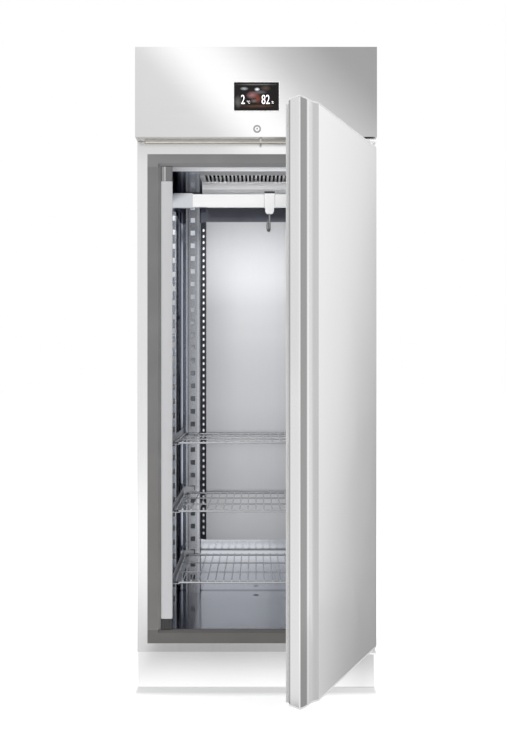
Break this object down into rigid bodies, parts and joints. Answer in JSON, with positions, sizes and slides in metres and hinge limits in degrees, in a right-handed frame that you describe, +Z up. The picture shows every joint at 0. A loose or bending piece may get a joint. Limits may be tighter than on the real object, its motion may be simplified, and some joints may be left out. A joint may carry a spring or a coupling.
{
  "type": "dry aging cabinet",
  "caption": "Upright stainless steel dry aging cabinet with a hinged insulated door, wire shelves, a hanging bar with a hook, a chamber light and a cooling unit on top.",
  "frame": {"origin": "on the floor, on the underside of the plinth's cross rail, below the middle of the cold chamber", "axes": "+X to the cabinet's right seen from the front, +Y to its back, +Z up"},
  "size_m": [0.7514, 1.5203, 2.01],
  "materials": {
    "outer_steel": "satin",
    "door_steel": "satin",
    "inner_steel": "satin",
    "rack_steel": "satin",
    "bar_steel": "satin",
    "wire_steel": "polished",
    "galvanised_steel": "matte",
    "hinge_steel": "satin",
    "grey_plastic": "matte",
    "cap_plastic": "matte",
    "plinth_steel": "satin",
    "insulation": "matte",
    "housing_foam": "matte",
    "coated_coil": "satin",
    "seal_rubber": "matte",
    "white_plastic": "satin",
    "light_aluminium": "satin",
    "light_lens": "matte",
    "screen_glass": "gloss",
    "lock_chrome": "polished",
    "lock_brass": "satin",
    "coil_aluminium": "satin",
    "copper": "satin",
    "black_plastic": "satin",
    "motor_metal": "satin",
    "black_rubber": "matte"
  },
  "bodies": {
    "cabinet": {"plinth_frame": "plinth_steel", "plinth_crossbar": "plinth_steel", "base_panel": "outer_steel", "left_side_panel": "outer_steel", "right_side_panel": "outer_steel", "back_panel": "outer_steel", "front_frame": "outer_steel", "breaker_frame": "grey_plastic", "cabinet_foam": "insulation", "chamber_liner": "inner_steel", "top_cover": "outer_steel", "rear_grille": "outer_steel", "lower_profile": "grey_plastic", "fascia_brackets": "galvanised_steel", "hinge_brackets": "hinge_steel", "fixing_screws": "galvanised_steel", "drain_spigot": "black_plastic", "front_uprights": "rack_steel", "rear_uprights": "rack_steel", "left_runners": "rack_steel", "right_runners": "rack_steel", "air_duct_panel": "inner_steel", "hanging_rails": "rack_steel", "hanging_bar": "bar_steel", "light_profile": "light_aluminium", "light_diffuser": "light_lens", "light_end_caps": "cap_plastic", "evaporator_cover": "inner_steel", "evaporator_housing": "housing_foam", "evaporator_coil": "coated_coil", "evaporator_fan_motor": "motor_metal", "climate_probe": "black_plastic", "unit_base_plate": "galvanised_steel", "compressor": "motor_metal", "compressor_grommets": "black_rubber", "condenser_coil": "coil_aluminium", "fan_shroud": "black_plastic", "condenser_fan_motor": "motor_metal", "refrigerant_lines": "copper", "control_box": "black_plastic", "cable_gland": "black_plastic"},
    "door": {"door_skin": "door_steel", "door_foam": "insulation", "door_liner": "inner_steel", "door_end_caps": "cap_plastic", "door_gasket": "seal_rubber", "hinge_bushes": "white_plastic"},
    "fascia": {"fascia_panel": "outer_steel", "display_housing": "white_plastic", "display_screen": "screen_glass", "lock_housing": "lock_chrome"},
    "lock_key_plug": {"lock_plug": "lock_brass"},
    "lock_sliding_bolt": {"lock_bolt": "white_plastic"},
    "upper_shelf": {"shelf_1": "wire_steel"},
    "middle_shelf": {"shelf_2": "wire_steel"},
    "lower_shelf": {"shelf_3": "wire_steel"},
    "carrier": {"hook_carrier": "bar_steel"},
    "hook": {"meat_hook": "wire_steel"},
    "evaporator_fan_wheel": {"evaporator_fan": "black_plastic"},
    "condenser_fan_wheel": {"condenser_fan": "black_plastic"}
  },
  "joints": [
    {"name": "door_hinge", "type": "hinge", "parent": "cabinet", "child": "door", "pos_m": [0.353, -0.399, 0.142], "axis": [0, 0, 1], "range_deg": [-70.9, 34.1]},
    {"name": "fascia_tilt", "type": "hinge", "parent": "cabinet", "child": "fascia", "pos_m": [0, -0.356, 2.001], "axis": [-1, 0, 0], "range_deg": [0, 75]},
    {"name": "lock_turn", "type": "hinge", "parent": "fascia", "child": "lock_key_plug", "pos_m": [0.0034, -0.417, 1.7555], "axis": [0, 1, 0], "range_deg": [0, 90]},
    {"name": "lock_bolt_slide", "type": "slide", "parent": "fascia", "child": "lock_sliding_bolt", "axis": [0, 0, -1], "range_m": [0, 0.0222]},
    {"name": "upper_shelf_slide", "type": "slide", "parent": "cabinet", "child": "upper_shelf", "axis": [0, -1, 0], "range_m": [0, 0.16]},
    {"name": "middle_shelf_slide", "type": "slide", "parent": "cabinet", "child": "middle_shelf", "axis": [0, -1, 0], "range_m": [0, 0.16]},
    {"name": "lower_shelf_slide", "type": "slide", "parent": "cabinet", "child": "lower_shelf", "axis": [0, -1, 0], "range_m": [0, 0.16]},
    {"name": "hook_carrier_slide", "type": "slide", "parent": "cabinet", "child": "carrier", "axis": [1, 0, 0], "range_m": [-0.235, 0.145]},
    {"name": "hook_swivel", "type": "hinge", "parent": "carrier", "child": "hook", "pos_m": [0.045, -0.15, 1.54], "axis": [0, 0, 1], "continuous": true},
    {"name": "evaporator_fan_spin", "type": "hinge", "parent": "cabinet", "child": "evaporator_fan_wheel", "pos_m": [0, 0.14, 1.731], "axis": [0, 1, 0], "continuous": true},
    {"name": "condenser_fan_spin", "type": "hinge", "parent": "cabinet", "child": "condenser_fan_wheel", "pos_m": [-0.06, -0.294, 1.843], "axis": [0, 1, 0], "continuous": true}
  ],
  "couplings": [
    {"joint": "lock_bolt_slide", "follows": "lock_turn", "m_per_rad": 0.014045}
  ]
}
